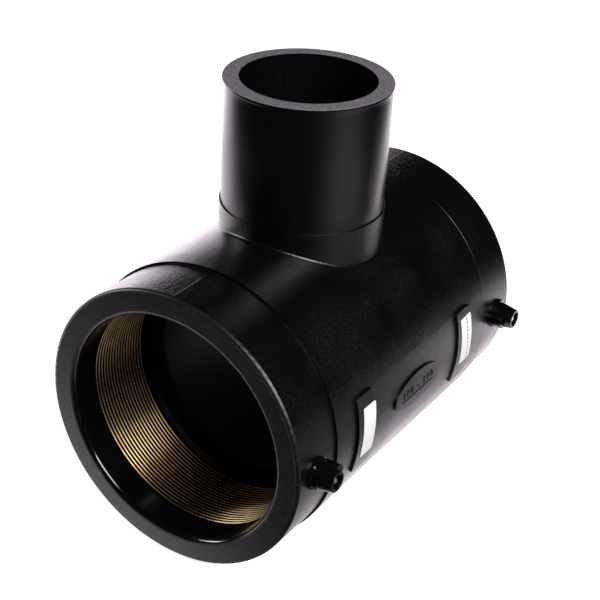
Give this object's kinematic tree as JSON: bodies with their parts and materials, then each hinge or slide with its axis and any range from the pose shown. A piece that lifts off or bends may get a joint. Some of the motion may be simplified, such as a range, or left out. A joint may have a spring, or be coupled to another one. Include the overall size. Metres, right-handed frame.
{
  "type": "electrofusion reducing tee",
  "caption": "Black plastic pipe tee with wire-wound welding sockets at both ends of the run, a smaller plain spigot branch and shrouded side terminals.",
  "frame": {"origin": "where the run's axis and the branch's axis cross", "axes": "+X along the run towards the far socket, +Z along the branch towards its open end; the terminals and stickers face -Y"},
  "size_m": [0.288, 0.2143, 0.297],
  "materials": {
    "tee_body": "black polyethylene, moulded, fine satin grain",
    "heating_wire": "drawn resistance wire, warm copper tone",
    "terminal_pin": "bright turned brass",
    "terminal_shroud": "glossy black moulding",
    "fusion_indicator": "black polyethylene",
    "sticker": "white printed paper"
  },
  "bodies": {
    "root": {"tee_body": "tee_body", "heating_coil_near": "heating_wire", "heating_coil_far": "heating_wire", "link_wire": "heating_wire", "terminal_pin_near": "terminal_pin", "terminal_pin_far": "terminal_pin", "terminal_shroud_near": "terminal_shroud", "terminal_shroud_far": "terminal_shroud", "fusion_indicator_near": "fusion_indicator", "fusion_indicator_far": "fusion_indicator", "sticker_near": "sticker", "sticker_far": "sticker"}
  },
  "joints": []
}
